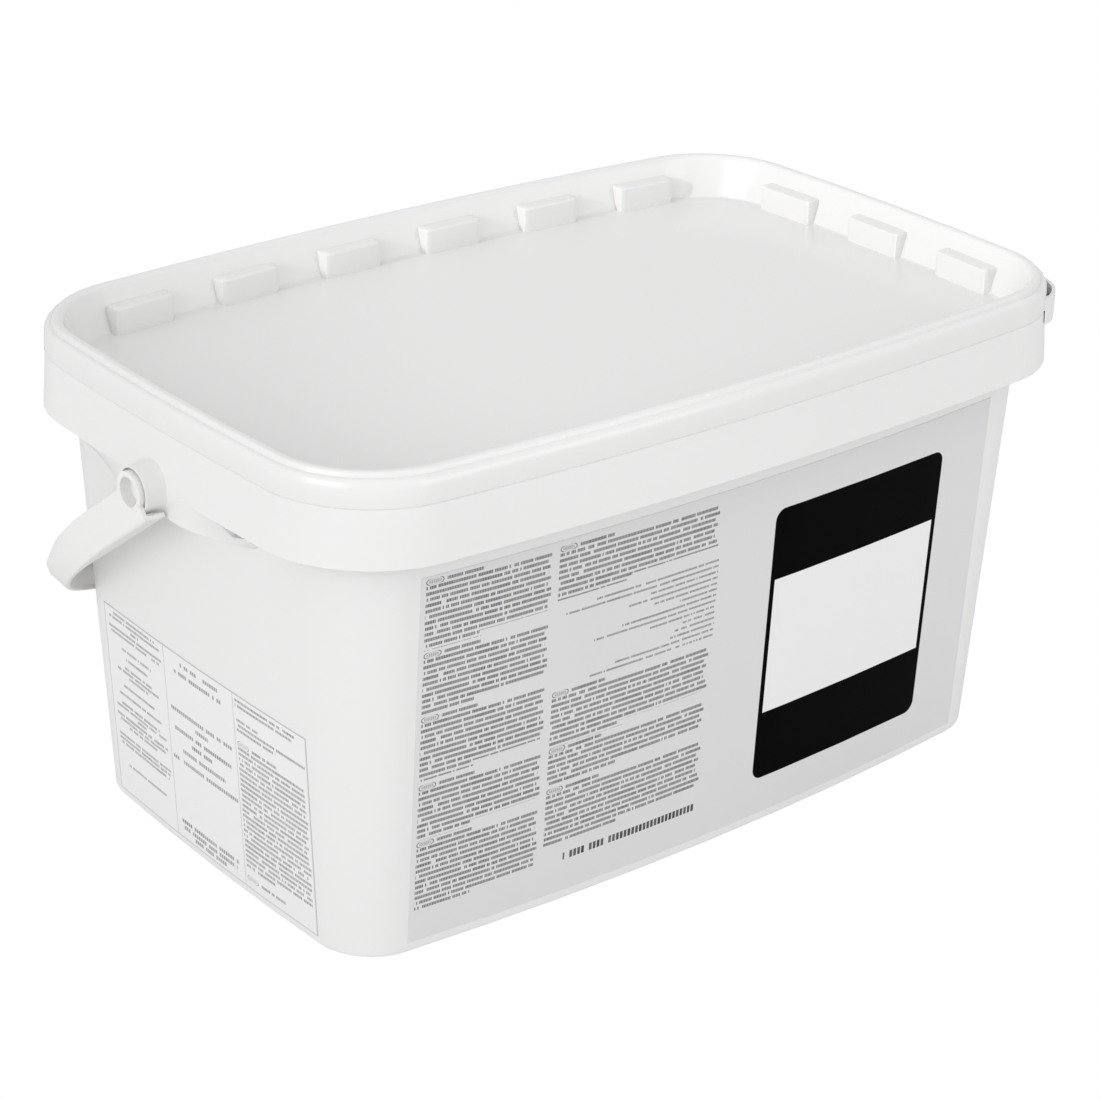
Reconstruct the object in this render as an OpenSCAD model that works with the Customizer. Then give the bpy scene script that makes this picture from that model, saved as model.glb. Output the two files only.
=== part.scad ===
// Oven cleaning tablet tub: a bowed, tapered pail with a hanging collar, a lift-off stacking lid,
// a swinging bail handle and two printed labels. Millimetres, base at z = 0, front towards -Y.

/* [Collar] */
// Length of the collar along the front, at the middle of the short sides
collar_len = 380; // [320:1:440]
// Width of the collar, at the middle of the long sides
collar_wid = 242; // [200:1:280]
// Height of the face where the lid rests on the collar
seat_z = 193.8; // [185:0.1:205]
// Drop of the collar's hanging skirt below the seat
skirt_drop = 22.7; // [18:0.1:28]
// Corner radius of the collar's outline
collar_r = 39.7; // [30:0.1:50]
// How far the long sides bow out
long_bow = 9.5; // [0:0.1:14]
// How far the short sides bow out
short_bow = 4.1; // [0:0.1:8]
// Thickness of the tub's walls
wall = 1.8; // [1.2:0.1:2.6]

/* [Body] */
// Step in from the collar's outline to the body wall
body_step = 11.8; // [9:0.1:14]
// Taper of each short side from the collar down to the base
short_taper = 8.8; // [4:0.1:14]
// Taper of each long side from the collar down to the base
long_taper = 7.4; // [4:0.1:14]
// Corner radius of the body below the collar
body_r_top = 26.3; // [20:0.1:28]
// Corner radius of the body at the base
body_r_base = 20.9; // [16:0.1:26]
// Thickness of the floor
floor_t = 2.2; // [1.6:0.1:4]

/* [Lid] */
// Height of the rounded rim above the seat
rim_rise = 12.4; // [10:0.1:16]
// Depth of the sunk panel below the rim
panel_depth = 18.2; // [14:0.1:20]
// Thickness of the panel
panel_t = 1.5; // [1.2:0.1:2.4]
// Gap between the tub's lip and the lid's inner wall
lip_gap = 0.7; // [0.4:0.1:1.2]

/* [Stacking blocks] */
// Height of each block above the panel
block_h = 11; // [8:0.1:13]
// Reach of each block in from the collar's outline
block_reach = 16.3; // [15:0.1:20]
// Spacing of the six blocks on each long side
long_pitch = 52.5; // [48:0.1:54]
// Length of each block on the long sides
long_block = 29.5; // [20:0.1:36]
// Spacing of the three blocks on each short side
short_pitch = 54; // [48:0.1:56]
// Length of each block on the short sides
short_block = 31; // [20:0.1:36]

/* [Handle] */
// Height of the swing axis above the base
pivot_z = 170.4; // [168:0.1:172]
// Outer radius of each pivot boss
boss_r = 9.6; // [9:0.1:10.5]
// How far each boss stands out from the collar's outline
boss_out = 9.3; // [8:0.1:12]
// Radial clearance of the pivot cup in its boss
pivot_gap = 0.05; // [0.02:0.01:0.1]
// Gap between the boss's end and the arm
arm_gap = 0.2; // [0.2:0.1:0.8]
// Reach of the bail from its axis
bail_reach = 150; // [149.5:0.5:160]
// How far below level the bail hangs at the back
bail_drop = 36; // [34:0.5:36.5]
// Thickness of the bail's band
band_t = 1.5; // [1.2:0.1:2.4]
// Band above the line through the axis
band_up = 3.4; // [2.6:0.1:5]
// Band below the line through the axis
band_down = 12.7; // [12.4:0.1:14]
// Squareness of the bail's curve
bail_power = 3.8; // [3.8:0.1:4.6]

/* [Labels] */
// Thickness of the printed films
film = 0.2; // [0.15:0.01:0.4]
// Length of the front label
front_len = 289.8; // [240:0.1:290]
// Height of the front label
front_high = 154.5; // [120:0.1:160]
// Height of the front label's lower edge
front_z = 4.5; // [4:0.1:20]
// Length of the side label
side_len = 141.1; // [100:0.1:150]
// Height of the side label
side_high = 86.1; // [60:0.1:120]
// Height of the side label's lower edge
side_z = 3.8; // [3:0.1:40]

/* [Hidden] */

half_len = collar_len / 2;
half_wid = collar_wid / 2;
skirt_z = seat_z - skirt_drop;
rim_z = seat_z + rim_rise;
panel_z = rim_z - panel_depth;
corner_steps = 8;
long_steps = 8;
short_steps = 4;

// the body's own bow differs a little from the collar's
body_long_bow = long_bow + 0.2;
body_short_bow = short_bow - 1.2;
skirt_flare = 1.3;
edge_round = 1.5;

// lid wall: seen side from the rim's edge down to the panel, and the lip that sits outside it
rim_in = 7.8;
plug_in = 12.7;
lid_wall = 1.5;
lip_top = 5.2;
lip_t = 1.6;
wall_slope = (plug_in - rim_in) / (panel_depth - 2);
lip_in = rim_in + wall_slope * (rim_rise - lip_top - 2) - lid_wall - lip_gap;
lip_out = lip_in - lip_t;

// pivots
boss_end = half_len + boss_out;
boss_root = half_len - body_step - 0.5;
cup_r = boss_r - 1.6;
bore_end = half_len - 6.5;
pin_end = bore_end + 1;
arm_in = boss_end + arm_gap;
arm_out = arm_in + band_t;
cup_proud = 0.2;
cup_deep = 4.6;
cup_lip = 2.2;
mouth_deep = 2.4;
mouth_gap = 0.8;

// rounded rectangle as a list of points, anticlockwise from the right side
function corner(cx, cy, r, start) =
    [for (i = [0 : corner_steps]) let (t = start + 90 * i / corner_steps) [cx + r * cos(t), cy + r * sin(t)]];
function between(p, q, n) = [for (i = [1 : n - 1]) p + (q - p) * i / n];
function plain_outline(a, b, r) = concat(
    corner(a - r, b - r, r, 0),
    between([a - r, b], [r - a, b], long_steps),
    corner(r - a, b - r, r, 90),
    between([-a, b - r], [-a, r - b], short_steps),
    corner(r - a, r - b, r, 180),
    between([r - a, -b], [a - r, -b], long_steps),
    corner(a - r, r - b, r, 270),
    between([a, r - b], [a, b - r], short_steps));

// one level ring of an outline whose sides bow out
function bowed(a, b, z, r, lb, sb) =
    let (a0 = a - sb, b0 = b - lb)
    [for (p = plain_outline(a0, b0, r))
        [p.x * (1 + sb / a0 * (1 - pow(p.y / b0, 2))), p.y * (1 + lb / b0 * (1 - pow(p.x / a0, 2))), z]];

// ring set in from the collar's outline
function collar_ring(inset, z) =
    bowed(half_len - inset, half_wid - inset, z, collar_r - inset, long_bow, short_bow);

// ring on the tapered body; grow is how far it lies outside the wall's outer face
function body_ring(z, grow = 0) =
    let (k = 1 - z / skirt_z)
    bowed(half_len - body_step - short_taper * k + grow, half_wid - body_step - long_taper * k + grow, z,
        body_r_top + (body_r_base - body_r_top) * k + grow, body_long_bow, body_short_bow);
function sunk_ring(z, level, grow) = [for (p = body_ring(level, grow)) [p.x, p.y, z]];

// solid through a list of rings, closed with a cap at each end; caps lists the convex parts of a ring
module loft(rings, caps = []) {
    n = len(rings[0]);
    m = len(rings);
    parts = len(caps) > 0 ? caps : [[for (i = [0 : n - 1]) i]];
    sides = [for (k = [0 : m - 2], i = [0 : n - 1]) let (j = (i + 1) % n, a = k * n, b = a + n)
        each [[a + i, b + i, b + j], [a + i, b + j, a + j]]];
    polyhedron([for (r = rings) each r],
        concat(parts, sides, [for (part = parts) [for (i = [len(part) - 1 : -1 : 0]) (m - 1) * n + part[i]]]),
        convexity = 10);
}

// both short sides are alike
module both_ends() {
    children();
    mirror([1, 0, 0]) children();
}

module along_x(x) {
    translate([x, 0, pivot_z]) rotate([0, 90, 0]) children();
}

// Tub

module shell() {
    loft([
        sunk_ring(0, 0, -edge_round),
        sunk_ring(0.4, 0, -0.45),
        body_ring(edge_round),
        body_ring(skirt_z),
        collar_ring(9.6, skirt_z + 7),
        collar_ring(lip_out + 0.9, skirt_z + 12.5),
        collar_ring(lip_out, skirt_z + 16),
        collar_ring(lip_out, seat_z - wall),
        collar_ring(wall, seat_z - wall),
        collar_ring(wall - skirt_flare, skirt_z),
        collar_ring(-skirt_flare, skirt_z),
        collar_ring(-0.5, skirt_z + 11),
        collar_ring(0, seat_z - 3),
        collar_ring(0.1, seat_z - 0.6),
        collar_ring(0.6, seat_z),
        collar_ring(lip_out, seat_z),
        collar_ring(lip_out, seat_z + lip_top - 0.5),
        collar_ring(lip_out + 0.5, seat_z + lip_top),
        collar_ring(lip_in - 0.5, seat_z + lip_top),
        collar_ring(lip_in, seat_z + lip_top - 0.5),
        collar_ring(lip_in, skirt_z + 16),
        collar_ring(lip_in + 1.2, skirt_z + 12.5),
        collar_ring(11.4, skirt_z + 7),
        body_ring(skirt_z, -wall),
        body_ring(floor_t + 3.4, -wall),
        sunk_ring(floor_t + 0.9, floor_t, -wall - 1),
        sunk_ring(floor_t, floor_t, -wall - 3.4)]);
}

// apron under the collar on a short side: upright under the boss, then a slope that fades into the wall
ear_flat = 16;
ear_far = 62;
ear_drop = 10.6;
ear_fade = 20;
ear_sink = 0.9;
function ear_outer(y) = -(half_len + skirt_flare) + short_bow * pow(y / (half_wid - long_bow), 2);
function ear_wall(y, z) = -(half_len - body_step - short_taper * (1 - z / skirt_z))
    + body_short_bow * pow(y / (half_wid - body_step - body_long_bow), 2);
function ease(t) = let (u = min(max(t, 0), 1)) u * u * (3 - 2 * u);
function ear_section(y) =
    let (slope = ease((abs(y) - ear_flat) / (ear_far - ear_flat)),
        fade = ease((abs(y) - ear_far + ear_fade) / (ear_fade + 4)),
        edge = skirt_z - ear_drop * (1 - 0.95 * fade), low = edge - 2.6 * (1 - fade) - 0.4,
        near = ear_outer(y) + 0.5 + (body_step - 0.9) * slope, root = ear_wall(y, low))
    [[root - 0.3 + ear_sink * fade, y, low], [near + 0.4, y, edge - 0.15], [near, y, edge],
        [ear_outer(y) + 0.02, y, skirt_z], [ear_outer(y) + 0.3, y, skirt_z + 1.5],
        [root + 1.2, y, skirt_z + 1.5], [root + 1.2, y, low]];

module ear() {
    half = [0, 8, 16, 21, 26, 31, 36, 41, 46, 51, 56, 61, 66];
    loft([for (i = [-12 : 12]) ear_section(sign(i) * half[abs(i)])], caps = [[2, 3, 4, 5], [0, 1, 2, 5, 6]]);
}

// small window under the collar beside the boss
notch_near = 44;
notch_wide = 15;
notch_high = 6;
module notch() {
    translate([-half_len - 10, -notch_near - notch_wide, skirt_z - notch_high])
        cube([10 + body_step - 0.9, notch_wide, notch_high]);
}

module boss() {
    along_x(boss_root) cylinder(h = boss_end - boss_root, r = boss_r, $fn = 64);
    along_x(half_len - 1) cylinder(h = 5.4, r1 = boss_r + 1.2, r2 = boss_r, $fn = 64);
}

module boss_bore() {
    along_x(bore_end) cylinder(h = boss_end - bore_end + 1, r = cup_r, $fn = 64);
    along_x(boss_end - mouth_deep) cylinder(h = mouth_deep + 1, r = cup_r + mouth_gap, $fn = 64);
}

module tub() {
    color("#eceeec") difference() {
        union() {
            shell();
            both_ends() {
                ear();
                boss();
            }
        }
        both_ends() boss_bore();
        both_ends() notch();
    }
}

// Lid

module lid_shell() {
    top = rim_z;
    loft([
        collar_ring(plug_in + 0.6, panel_z - panel_t),
        collar_ring(plug_in - lid_wall, panel_z - 0.4),
        collar_ring(rim_in - lid_wall + 0.1, top - 2.4),
        collar_ring(rim_in - 2.4, top - 1.7),
        collar_ring(4.2, top - 1.9),
        collar_ring(2.6, top - 4),
        collar_ring(1.8, top - 7),
        collar_ring(1.6, seat_z),
        collar_ring(0.1, seat_z),
        collar_ring(0, seat_z + 0.3),
        collar_ring(0, top - 9),
        collar_ring(0.15, top - 5.6),
        collar_ring(0.6, top - 3.6),
        collar_ring(1.3, top - 2.5),
        collar_ring(2.2, top - 2.1),
        collar_ring(2.9, top - 2),
        collar_ring(3.1, top - 1.7),
        collar_ring(3.2, top - 0.9),
        collar_ring(3.6, top - 0.3),
        collar_ring(4.3, top),
        collar_ring(5.7, top),
        collar_ring(6.7, top - 0.4),
        collar_ring(rim_in - 0.4, top - 1.1),
        collar_ring(rim_in, top - 2),
        collar_ring(plug_in - 0.5, panel_z + 1.6),
        collar_ring(plug_in + 0.1, panel_z + 0.5),
        collar_ring(plug_in + 1.3, panel_z)]);
}

// one stacking block, long along X, its seen face towards -Y at y = 0 and its back against the wall
module block(length, deep) {
    h = block_h;
    l = length / 2;
    r = 2.6;
    back = deep - lid_wall * 0.6;
    rise = wall_slope * h;
    function level(z, s, b) = [[l - s, b, z], [s - l, b, z], [s - l, r + s, z], [s - l + r * 0.3, r * 0.3 + s, z],
        [s - l + r, s, z], [l - s - r, s, z], [l - s - r * 0.3, r * 0.3 + s, z], [l - s, r + s, z]];
    loft([level(-0.6, 0, back), level(h - 1.4, 0, back + rise - 0.4), level(h - 0.4, 0.4, back + rise),
        level(h, 1.4, back + rise)]);
}

// the blocks follow the bow of the rim
module blocks() {
    deep = block_reach - plug_in + lid_wall;
    y_mid = half_wid - block_reach;
    x_mid = half_len - block_reach;
    long_curve = long_bow / pow(half_len - plug_in - short_bow, 2);
    short_curve = short_bow / pow(half_wid - plug_in - long_bow, 2);
    for (side = [0, 180], i = [-2.5 : 2.5]) {
        x = i * long_pitch;
        rotate([0, 0, side]) translate([x, y_mid - long_curve * x * x, panel_z])
            rotate([0, 0, -atan(2 * long_curve * x)]) block(long_block, deep);
    }
    for (side = [-90, 90], i = [-1 : 1]) {
        y = i * short_pitch;
        rotate([0, 0, side]) translate([y, x_mid - short_curve * y * y, panel_z])
            rotate([0, 0, -atan(2 * short_curve * y)]) block(short_block, deep);
    }
}

// arched finger lip that stands off the front right corner and hangs a little over the seam
lip_span = 15;
lip_stand = 4.7;
lip_root = 3.7;
lip_wall = 1.5;
lip_low = 5.8;
lip_tall = 11.5;
lip_clear = 0.6;
module finger_lip() {
    outer = [for (t = [-90 : 15 : 90]) [(lip_stand + lip_root) * cos(t) - lip_root, lip_span * sin(t)]];
    inner = [for (t = [90 : -15 : -90])
        [(lip_stand + lip_root - lip_wall) * cos(t) - lip_root, (lip_span - 1.7) * sin(t)]];
    difference() {
        translate([half_len - short_bow - collar_r, -half_wid + long_bow + collar_r, seat_z - lip_low])
            rotate([0, 0, -42]) translate([collar_r, 0, 0]) linear_extrude(height = lip_tall)
            polygon(concat(outer, inner));
        loft([collar_ring(-0.4 - lip_clear, seat_z - 12), collar_ring(-lip_clear, seat_z + 0.3)]);
    }
}

module lid() {
    color("#e4e6e5") union() {
        lid_shell();
        blocks();
        finger_lip();
    }
}

// Handle: a band swept along a squared curve, with a cup at each end of the axis

root_back = 4;
flange_t = 1.6;
flange_root = arm_out - half_len - skirt_flare - 1.1;
flange_corner = 1.8;
flange_mid = 6.4;
ridge_w = -5;
ridge_max = 4;
band_widen = 2.3;
root_swell = 0.12;
function curve_point(t) = [-sign(cos(t)) * arm_out * pow(abs(cos(t)), 2 / bail_power),
    bail_reach * pow(sin(t), 2 / bail_power)];
function curve_normal(p) =
    let (g = [sign(p.x) * pow(abs(p.x / arm_out), bail_power - 1) / arm_out,
        pow(p.y / bail_reach, bail_power - 1) / bail_reach]) g / norm(g);
function flange(p) =
    abs(p.x) > half_len - 10 && p.y < bail_reach * 0.75
        ? flange_root + (flange_corner - flange_root) * ease((p.y - 30) / 50)
        : flange_mid + (flange_corner - flange_mid) * ease((abs(p.x) - 100) / 40);
function band_ring(p, v) =
    let (k = ease((p.y - 35) / 70), up = band_up - 2 * k, dn = -band_down - band_widen * ease((p.y - 30) / 80),
        f = flange(p), swell = root_swell * (1 - k), ridge = ridge_max * k,
        section = [[-0.5, dn], [0, dn + 0.6], [ridge + swell, ridge_w - 2 * k], [ridge + swell, ridge_w + 1 + k],
            [0, up - 0.6], [-0.6, up], [-band_t + 0.4, up], [-band_t, up - 0.5], [ridge - band_t - swell, ridge_w],
            [-band_t, dn + flange_t + 0.6], [-band_t - 0.6, dn + flange_t], [-f, dn + flange_t], [-f, dn]])
    [for (q = section) bail_place(p + v * q.x, q.y)];
function bail_place(p, w) = [p.x, p.y * cos(bail_drop) + w * sin(bail_drop),
    pivot_z - p.y * sin(bail_drop) + w * cos(bail_drop)];

module band() {
    steps = 48;
    arc = [for (i = [1 : steps - 1]) curve_point(180 * i / steps)];
    straight = [[-arm_out, -root_back], [-arm_out, 16]];
    loft(concat(
        [for (p = straight) band_ring(p, [-1, 0])],
        [for (p = arc) band_ring(p, curve_normal(p))],
        [for (p = [straight[1], straight[0]]) band_ring([-p.x, p.y], [1, 0])]),
        caps = [[1, 2, 3, 4, 5, 6, 7, 8, 9], [0, 1, 9, 10], [0, 10, 11, 12]]);
}

module cup() {
    along_x(pin_end) cylinder(h = arm_out + cup_proud - pin_end, r = cup_r - pivot_gap, $fn = 64);
}

module cup_hollow() {
    along_x(arm_out + cup_proud - cup_deep) cylinder(h = cup_deep + 1, r = cup_r - cup_lip, $fn = 64);
}

module handle() {
    color("#f0f1ef") difference() {
        union() {
            band();
            both_ends() cup();
        }
        both_ends() cup_hollow();
    }
}

// Labels: a film on the body's faces, cut to a window

module body_film() {
    difference() {
        loft([body_ring(edge_round, film), body_ring(skirt_z, film)]);
        loft([body_ring(edge_round - 0.1), body_ring(skirt_z + 0.1)]);
    }
}

module front_label() {
    color("#cfd2d3") intersection() {
        body_film();
        translate([-front_len / 2 + 0.5, -half_wid, front_z]) cube([front_len, half_wid, front_high]);
    }
}

module side_label() {
    color("#f4f5f5") intersection() {
        body_film();
        translate([-half_len, -side_len / 2 + 0.65, side_z]) cube([half_len, side_len, side_high]);
    }
}

tub();
lid();
handle();
front_label();
side_label();
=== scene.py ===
import math

import bmesh
import bpy
from mathutils import Matrix, Vector

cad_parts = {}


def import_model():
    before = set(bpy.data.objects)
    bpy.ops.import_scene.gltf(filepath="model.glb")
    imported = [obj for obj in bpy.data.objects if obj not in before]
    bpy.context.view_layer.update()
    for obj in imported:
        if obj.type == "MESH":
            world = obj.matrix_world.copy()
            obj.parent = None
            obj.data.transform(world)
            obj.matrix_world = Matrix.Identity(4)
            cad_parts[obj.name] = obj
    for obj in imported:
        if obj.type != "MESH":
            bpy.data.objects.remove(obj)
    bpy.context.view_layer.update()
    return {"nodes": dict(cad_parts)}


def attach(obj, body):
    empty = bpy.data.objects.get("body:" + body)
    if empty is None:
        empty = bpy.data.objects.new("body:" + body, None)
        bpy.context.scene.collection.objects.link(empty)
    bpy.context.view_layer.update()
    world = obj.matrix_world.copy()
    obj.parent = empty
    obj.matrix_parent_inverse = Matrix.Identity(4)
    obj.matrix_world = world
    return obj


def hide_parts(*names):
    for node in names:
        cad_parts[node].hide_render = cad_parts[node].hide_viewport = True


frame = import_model()

# edges that turn less than this are shaded softly, and points closer than this are one, in metres
SMOOTH_ANGLE = math.radians(34)
MERGE_GAP = 0.00001

# small print, in millimetres: the oval tag and the head line at the start of each block,
# the cells of the tag's pattern, and the letters of each word
TAG_LONG, TAG_GAP, HEAD_LONG = 7.6, 1.2, 18
TAG_CELL = 0.9
WORD_LETTERS = 14

# front label, in millimetres: the two text columns as left and right edge, and the letter pitch
LEFT_COLUMN = (-142.3, -87.8)
RIGHT_COLUMN = (-84.6, -7.3)
FRONT_PITCH = 0.7
# side label, in millimetres: its letter pitches, the lines between its columns and its last column
SIDE_PITCH, SIDE_BOLD_PITCH = 0.95, 1.5
FIRST_DIVIDE, SECOND_DIVIDE, DIVIDE_LINE = -25.4, 23.4, 0.44
LAST_COLUMN = (24.8, 68.6)

# plain banded panel on the front, in millimetres
PANEL_X, PANEL_Z = 69.9, 82.3
PANEL_WIDE, PANEL_HIGH = 96, 122
PANEL_ROUND, PANEL_LINE, PANEL_BAND = 5, 2.4, 31


class Value:
    """A number socket that takes Python's arithmetic."""

    def __init__(self, paint, socket):
        self.paint = paint
        self.socket = socket

    def math(self, operation, *others):
        values = [self] + list(others)
        made = self.paint.node("ShaderNodeMath", {"operation": operation}, values)
        return Value(self.paint, made.outputs[0])

    def __add__(self, other):
        return self.math("ADD", other)

    def __mul__(self, other):
        return self.math("MULTIPLY", other)

    def __sub__(self, other):
        return self.math("SUBTRACT", other)

    def __rsub__(self, other):
        return (self * -1) + other

    def __truediv__(self, other):
        return self.math("DIVIDE", other)

    __radd__ = __add__
    __rmul__ = __mul__

    def above(self, edge):
        return self.math("GREATER_THAN", edge)

    def below(self, edge):
        return self.math("LESS_THAN", edge)

    def within(self, low, high):
        return self.above(low) * self.below(high)

    def both(self, other):
        return self.math("MAXIMUM", other)

    def whole(self):
        return self.math("FLOOR")

    def part(self):
        return self.math("FRACT")

    def size(self):
        return self.math("ABSOLUTE")


class Paint:
    """One material and the nodes in it."""

    def __init__(self, name):
        self.material = bpy.data.materials.new(name)
        self.material.use_nodes = True
        self.tree = self.material.node_tree
        self.shader = self.tree.nodes["Principled BSDF"]
        self.place = self.node("ShaderNodeTexCoord").outputs["Object"]
        axes = self.node("ShaderNodeSeparateXYZ", {}, [self.place])
        self.x, self.y, self.z = [Value(self, axes.outputs[i]) * 1000 for i in range(3)]

    def node(self, kind, settings=None, values=None):
        made = self.tree.nodes.new(kind)
        for key, setting in (settings or {}).items():
            setattr(made, key, setting)
        pairs = values.items() if isinstance(values, dict) else enumerate(values or [])
        for key, value in pairs:
            self.set(made.inputs[key], value)
        return made

    def set(self, socket, value):
        if isinstance(value, Value):
            self.tree.links.new(value.socket, socket)
        elif isinstance(value, bpy.types.NodeSocket):
            self.tree.links.new(value, socket)
        else:
            socket.default_value = value

    def noise(self, scale, detail=2, stretch=(1, 1, 1)):
        turned = self.node("ShaderNodeMapping", {}, {"Vector": self.place, "Scale": stretch})
        made = self.node("ShaderNodeTexNoise", {},
                         {"Vector": turned.outputs[0], "Scale": scale, "Detail": detail})
        return Value(self, made.outputs["Fac"])

    def random(self, *numbers):
        cell = self.node("ShaderNodeCombineXYZ", {}, list(numbers))
        made = self.node("ShaderNodeTexWhiteNoise", {"noise_dimensions": "3D"}, [cell.outputs[0]])
        return Value(self, made.outputs["Value"])

    def mix(self, amount, first, second):
        made = self.node("ShaderNodeMix", {"data_type": "RGBA"}, {0: amount, 6: first, 7: second})
        return made.outputs[2]

    def ramp(self, value, stops):
        made = self.node("ShaderNodeMapRange", {"interpolation_type": "SMOOTHSTEP"},
                         [value, stops[0], stops[1], stops[2], stops[3]])
        return Value(self, made.outputs[0])

    def bump(self, height, strength, distance):
        made = self.node("ShaderNodeBump", {},
                         {"Height": height, "Strength": strength, "Distance": distance})
        self.set(self.shader.inputs["Normal"], made.outputs[0])

    def finish(self, **inputs):
        for key, value in inputs.items():
            self.set(self.shader.inputs[key.replace("_", " ")], value)
        return self.material


def grey(level, warmth=0.0):
    return (level + warmth, level, level - warmth, 1)


def white_plastic(name, tone, roughness, warmth=0.004):
    """Injection-moulded white plastic: faint flow clouds, fine grain and a few handling scuffs."""
    paint = Paint(name)
    clouds = paint.noise(9, 3)
    grain = paint.noise(900, 2)
    scuff_field = paint.noise(90, 2, (0.12, 1.6, 1))
    scuffs = paint.ramp(scuff_field, (0.68, 0.78, 0, 0.6))
    colour = paint.mix(clouds, grey(tone - 0.008, warmth), grey(tone + 0.008, warmth))
    colour = paint.mix(scuffs * 0.12, colour, grey(tone - 0.09, warmth))
    paint.bump(grain * 0.3 + clouds * 0.7, 0.02, 0.0004)
    return paint.finish(Base_Color=colour, Roughness=roughness + scuffs * 0.12 + grain * 0.05)


def total(values):
    result = values[0]
    for value in values[1:]:
        result = result + value
    return result


def letters(paint, across, line, pitch, seed):
    """Small strokes with word gaps along a line, some words bolder; 0 is bare and 1 is full ink."""
    cell = across / pitch + paint.random(line, seed, 0.5) * 7
    letter = cell.whole()
    chance = paint.random(letter, line, seed)
    bold = paint.random((cell / WORD_LETTERS).whole(), line, seed + 0.7).above(0.8)
    stroke = cell.part().within(0.1, 0.8)
    return chance.above(0.1) * stroke * (chance * 0.15 + 0.8 + bold * 0.1)


def paragraphs(paint, across, up, left, right, blocks, row, pitch, seed, ink=0.56):
    """Blocks of generic small print, each with a short head line that follows a small oval tag."""
    here = [up.within(low, high) for high, low in blocks]
    start = total([block * high for block, (high, low) in zip(here, blocks)])
    end = total([block * low for block, (high, low) in zip(here, blocks)])
    down = (start - up) / row
    line = down.whole()
    head = line.below(0.5)
    last = (up - end).below(row)
    wide = right - left
    ragged = paint.random(line, seed, 3.5) * 0.04 * wide
    short_end = (1 - head) * last * 0.55 * wide
    stop = right - ragged - short_end - head * (wide - TAG_LONG - HEAD_LONG)
    begin = head * (TAG_LONG + TAG_GAP) + left
    reach = (across - begin).above(0) * (across - stop).below(0)
    height = down.part().within(0.2, 0.2 + ink)
    text = letters(paint, across, line, pitch, seed) * reach * height
    ahead = (across - left - TAG_LONG / 2) / (TAG_LONG / 2)
    aside = (start - up - row / 2) / (row * 0.6)
    oval = ahead * ahead * ahead * ahead + aside * aside
    outline = oval.within(0.62, 1) * 0.8
    inside = oval.below(0.3) * 0.45 * cell_pattern(across)
    tag = head * (outline + inside)
    return total(here) * text.both(tag)


def cell_pattern(across):
    """Upright strokes that fill the oval tags."""
    return (across / TAG_CELL).part().above(0.3)


def ragged_rows(paint, across, up, left, right, low, high, row, pitch, seed):
    """Generic rows of uneven length that all end at the right edge."""
    down = (high - up) / row
    line = down.whole()
    start = right - (paint.random(line, seed, 4.5) * 0.85 + 0.15) * (right - left)
    reach = (across - start).above(0) * across.below(right) * up.within(low, high)
    return letters(paint, across, line, pitch, seed) * reach * down.part().within(0.3, 0.66) * 0.85


def single_rows(paint, across, up, rows, pitch, seed, high=1.15):
    """Generic rows, each given as left, right and height of its middle."""
    masks = [across.within(left, right) * (up - z).size().below(high / 2)
             for left, right, z in rows]
    line = total([mask * index for index, mask in enumerate(masks, 1)])
    return letters(paint, across, line, pitch, seed) * total(masks)


def centred(middle, rows):
    return [(middle - width / 2, middle + width / 2, z) for width, z in rows]


def banded_panel(across, up):
    """The whole of a plain upright panel with round corners, and its white part."""
    aside = ((across - PANEL_X).size() - (PANEL_WIDE / 2 - PANEL_ROUND)).both(0)
    above = ((up - PANEL_Z).size() - (PANEL_HIGH / 2 - PANEL_ROUND)).both(0)
    out = (aside * aside + above * above).math("SQRT")
    between_bands = (up - PANEL_Z).size().below(PANEL_HIGH / 2 - PANEL_BAND)
    bare = out.below(PANEL_ROUND - PANEL_LINE) * between_bands
    return out.below(PANEL_ROUND), bare


def front_print():
    """Light grey field with two columns of generic print and a plain black and white panel."""
    paint = Paint("front_print")
    across, up = paint.x, paint.z
    field = paint.noise(7, 2)
    paper = paint.mix(field, grey(0.71), grey(0.74))
    left_blocks = [(158, 129.2), (128.2, 102.6), (101.6, 74.6), (72.8, 48.8), (48.2, 18.2)]
    right_blocks = [(156.6, 134.2), (95.4, 71.2), (70.9, 54.2), (53, 27.6)]
    left_column = paragraphs(paint, across, up, *LEFT_COLUMN, left_blocks,
                             row=2.34, pitch=FRONT_PITCH, seed=1.5)
    right_column = paragraphs(paint, across, up, *RIGHT_COLUMN, right_blocks,
                              row=2.36, pitch=FRONT_PITCH, seed=2.5)
    right_middle = ragged_rows(paint, across, up, RIGHT_COLUMN[0], -7, low=97.2, high=131.4,
                               row=2.5, pitch=FRONT_PITCH, seed=3.5)
    bars = single_rows(paint, across, up, [(-75, -9.5, 20.2)], pitch=1.9, seed=5.5, high=3.2)
    colour = paint.mix(left_column.both(right_column).both(right_middle), paper, grey(0.05))
    colour = paint.mix(bars, colour, grey(0.02))
    panel, bare = banded_panel(across, up)
    colour = paint.mix(panel, colour, paint.mix(bare, grey(0.001), grey(0.86)))
    paint.bump(paint.noise(500, 2), 0.03, 0.0003)
    return paint.finish(Base_Color=colour, Roughness=0.42 + field * 0.08, Specular_IOR_Level=0.02)


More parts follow.
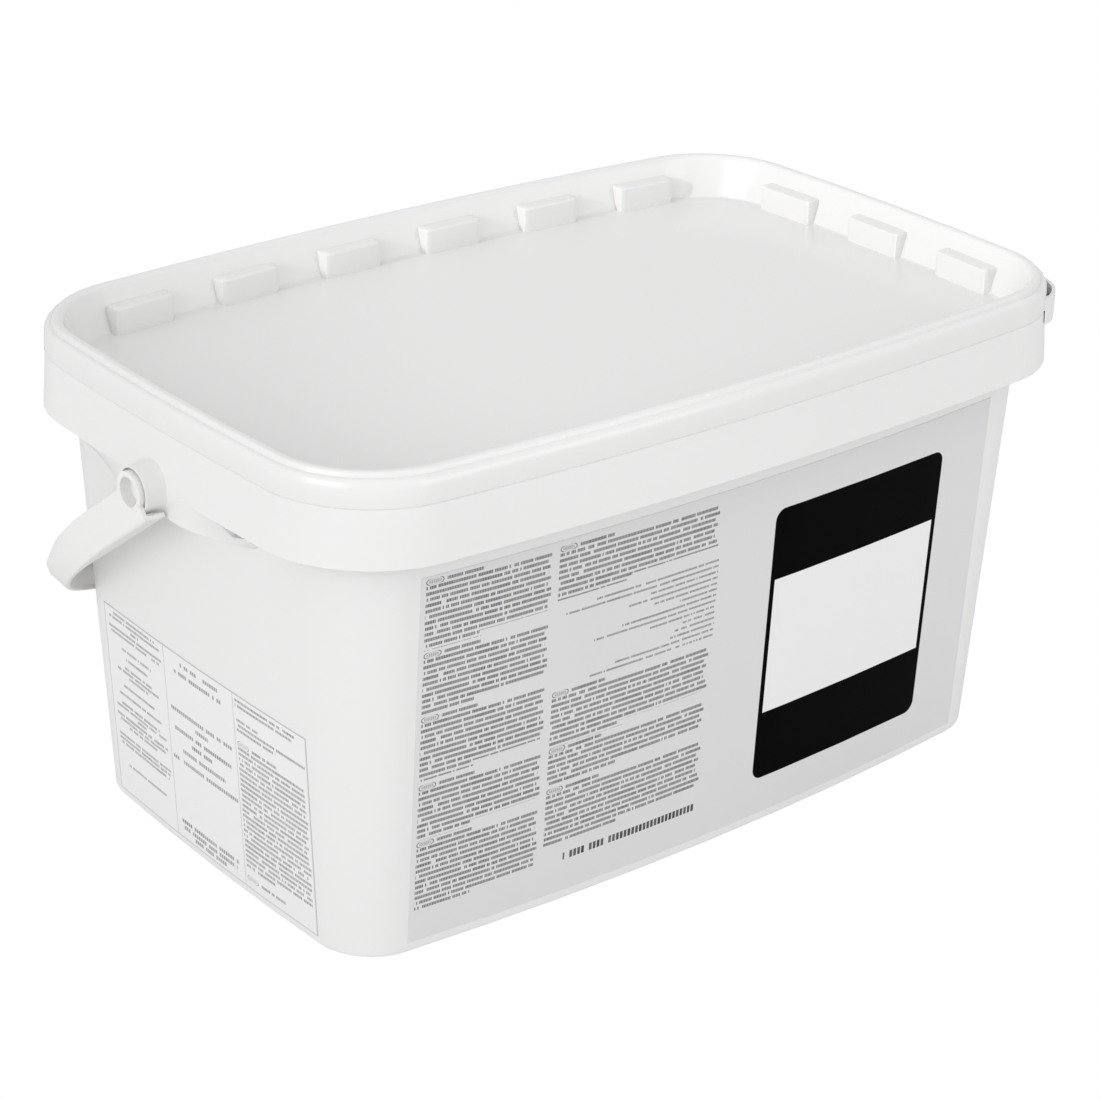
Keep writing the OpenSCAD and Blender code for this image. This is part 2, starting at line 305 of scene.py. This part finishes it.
def side_print():
    """White field in three boxed columns of generic small print, with bare places between."""
    paint = Paint("side_print")
    across, up = paint.y * -1, paint.z
    field = paint.noise(8, 2)
    paper = paint.mix(field, grey(0.82), grey(0.85))
    border = 1 - across.within(-70.7, 69.4) * up.within(4.3, 89.4)
    divides = (across - FIRST_DIVIDE).size().below(DIVIDE_LINE / 2).both(
        (across - SECOND_DIVIDE).size().below(DIVIDE_LINE / 2))
    first_rows = [
        (32, 87.5), (39, 85.4), (6, 83.3), (41, 81), (38, 78.9), (23, 73.2), (17, 69.3), (22, 65),
        (32, 63), (15, 61), (25, 56), (33, 51.5), (31, 47), (39, 45), (7, 43), (40, 40.8),
        (36, 38.8), (22, 36.8), (42, 31.4), (40, 29.4), (38, 27.4), (31, 18)]
    middle_rows = [
        (28, 85.7), (35, 81.3), (43, 63.6), (9, 59.6), (40, 55), (16, 51), (30, 46.2), (46, 41.1),
        (41, 12.1), (38, 9.2), (23, 6.6)]
    head_rows = [(63, 87.3), (61, 85.1), (39, 78.8), (68.4, 76.6), (50, 74.4)]
    first = single_rows(paint, across, up, centred(-48, first_rows), SIDE_PITCH, seed=6.5)
    middle = single_rows(paint, across, up, centred(-1, middle_rows), SIDE_BOLD_PITCH,
                         seed=7.5, high=1.7)
    head = single_rows(paint, across, up, [(LAST_COLUMN[0], right, z) for right, z in head_rows],
                       SIDE_PITCH, seed=8.5)
    last = paragraphs(paint, across, up, *LAST_COLUMN, [(69.6, 13), (9.6, 7.2)],
                      row=2.27, pitch=SIDE_PITCH, seed=9.5)
    ink = first.both(middle).both(head).both(last)
    colour = paint.mix(ink * 0.8, paper, grey(0.10))
    colour = paint.mix(border.both(divides) * 0.45, colour, grey(0.25))
    paint.bump(paint.noise(500, 2), 0.03, 0.0003)
    return paint.finish(Base_Color=colour, Roughness=0.42 + field * 0.06, Specular_IOR_Level=0.2)


def smooth_copy(node, body, material):
    """The piece as one joined surface with soft shading, in place of the loose CAD triangles."""
    source = frame["nodes"][node]
    mesh = source.data.copy()
    shape = bmesh.new()
    shape.from_mesh(mesh)
    bmesh.ops.remove_doubles(shape, verts=shape.verts, dist=MERGE_GAP)
    for face in shape.faces:
        face.smooth = True
    for edge in shape.edges:
        open_edge = len(edge.link_faces) != 2
        edge.smooth = open_edge or edge.calc_face_angle(0) < SMOOTH_ANGLE
    shape.to_mesh(mesh)
    shape.free()
    mesh.materials.clear()
    mesh.materials.append(material)
    piece = bpy.data.objects.new(node + "_moulding", mesh)
    bpy.context.scene.collection.objects.link(piece)
    soften = piece.modifiers.new("even_shading", "WEIGHTED_NORMAL")
    soften.keep_sharp = True
    soften.weight = 60
    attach(piece, body)
    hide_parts(node)
    return piece


tub = smooth_copy("tub", "tub_body", white_plastic("tub_plastic", 0.82, 0.33))
lid = smooth_copy("lid", "lid_body", white_plastic("lid_plastic", 0.80, 0.16))
handle = smooth_copy("handle", "handle_body", white_plastic("handle_plastic", 0.83, 0.32, 0.006))
front = smooth_copy("front_label", "tub_body", front_print())
side = smooth_copy("side_label", "tub_body", side_print())


def floor():
    """A pale floor that shows plain white to the camera and throws soft light back at the tub."""
    shape = bmesh.new()
    bmesh.ops.create_grid(shape, x_segments=1, y_segments=1, size=6)
    mesh = bpy.data.meshes.new("studio_floor")
    shape.to_mesh(mesh)
    shape.free()
    made = bpy.data.objects.new("studio_floor", mesh)
    made.location.z = -0.0003
    bpy.context.scene.collection.objects.link(made)
    paint = Paint("floor_white")
    paint.finish(Base_Color=grey(0.82), Roughness=0.9, Specular_IOR_Level=0.0)
    glow = paint.node("ShaderNodeEmission", {}, {"Color": (1, 1, 1, 1), "Strength": 1.0})
    seen = paint.node("ShaderNodeLightPath").outputs["Is Camera Ray"]
    both = paint.node("ShaderNodeMixShader", {}, [seen, paint.shader.outputs[0], glow.outputs[0]])
    output = next(n for n in paint.tree.nodes if n.type == "OUTPUT_MATERIAL")
    paint.tree.links.new(both.outputs[0], output.inputs["Surface"])
    mesh.materials.append(paint.material)


def lamp(name, place, target, size, energy):
    light = bpy.data.lights.new(name, "AREA")
    light.shape = "RECTANGLE"
    light.size, light.size_y = size
    light.energy = energy
    made = bpy.data.objects.new(name, light)
    made.location = place
    made.rotation_euler = (Vector(target) - Vector(place)).to_track_quat("-Z", "Y").to_euler()
    bpy.context.scene.collection.objects.link(made)


def recess_light():
    """Narrow beam from the far left whose low edge just clears the lid's rim, for the blocks."""
    light = bpy.data.lights.new("recess_beam", "SPOT")
    light.energy = 300
    light.spot_size = math.radians(30)
    light.spot_blend = 0.02
    light.shadow_soft_size = 0.02
    made = bpy.data.objects.new("recess_beam", light)
    place = Vector((-5, -0.1, 1.9))
    rim_x, rim_z = -0.185, 0.2075
    rim_slope = math.atan2(place.z - rim_z, rim_x - place.x)
    fall = rim_slope - light.spot_size / 2
    ahead = Vector((math.cos(fall), 0, -math.sin(fall)))
    made.location = place
    made.rotation_euler = ahead.to_track_quat("-Z", "Y").to_euler()
    bpy.context.scene.collection.objects.link(made)


def world(strength, seen):
    """White surroundings: one level lights the scene and another is what the camera sees."""
    made = bpy.data.worlds.new("studio")
    bpy.context.scene.world = made
    made.use_nodes = True
    tree = made.node_tree
    back = tree.nodes["Background"]
    back.inputs["Color"].default_value = (1, 1, 1, 1)
    back.inputs["Strength"].default_value = strength
    white = tree.nodes.new("ShaderNodeBackground")
    white.inputs["Color"].default_value = (1, 1, 1, 1)
    white.inputs["Strength"].default_value = seen
    path = tree.nodes.new("ShaderNodeLightPath")
    both = tree.nodes.new("ShaderNodeMixShader")
    tree.links.new(path.outputs["Is Camera Ray"], both.inputs[0])
    tree.links.new(back.outputs[0], both.inputs[1])
    tree.links.new(white.outputs[0], both.inputs[2])
    tree.links.new(both.outputs[0], tree.nodes["World Output"].inputs["Surface"])


def camera():
    """The photograph's viewpoint, found from the label's known mark and the collar's outline."""
    eye = Vector((-0.6958, -0.8431, 0.6051))
    right = Vector((0.7778, -0.6280, 0.0235)).normalized()
    ahead = Vector((0.5792, 0.7019, -0.4145)).normalized()
    up = right.cross(ahead)
    focal_px, frame_px = 2913.9, 1100
    centre_px = (554.76, 515.45)
    sensor_mm = 36
    data = bpy.data.cameras.new("camera")
    data.sensor_width = sensor_mm
    data.lens = focal_px / frame_px * sensor_mm
    data.shift_x = (frame_px / 2 - centre_px[0]) / frame_px
    data.shift_y = (centre_px[1] - frame_px / 2) / frame_px
    data.clip_end = 50
    made = bpy.data.objects.new("camera", data)
    turn = Matrix((right, up, -ahead)).transposed().to_4x4()
    made.matrix_world = Matrix.Translation(eye) @ turn
    bpy.context.scene.collection.objects.link(made)
    bpy.context.scene.camera = made


floor()
world(strength=0.77, seen=1.0)
LAMP_TARGET = (0, 0, 0.12)
lamp("left_softbox", (-2.6, -0.7, 0.9), LAMP_TARGET, size=(1.6, 1.8), energy=21)
lamp("front_softbox", (0.9, -2.6, 0.9), LAMP_TARGET, size=(1.8, 1.4), energy=13)
lamp("top_softbox", (-0.5, 0.5, 2.4), LAMP_TARGET, size=(1.4, 1.4), energy=2)
recess_light()
camera()

scene = bpy.context.scene
scene.view_settings.view_transform = "Standard"
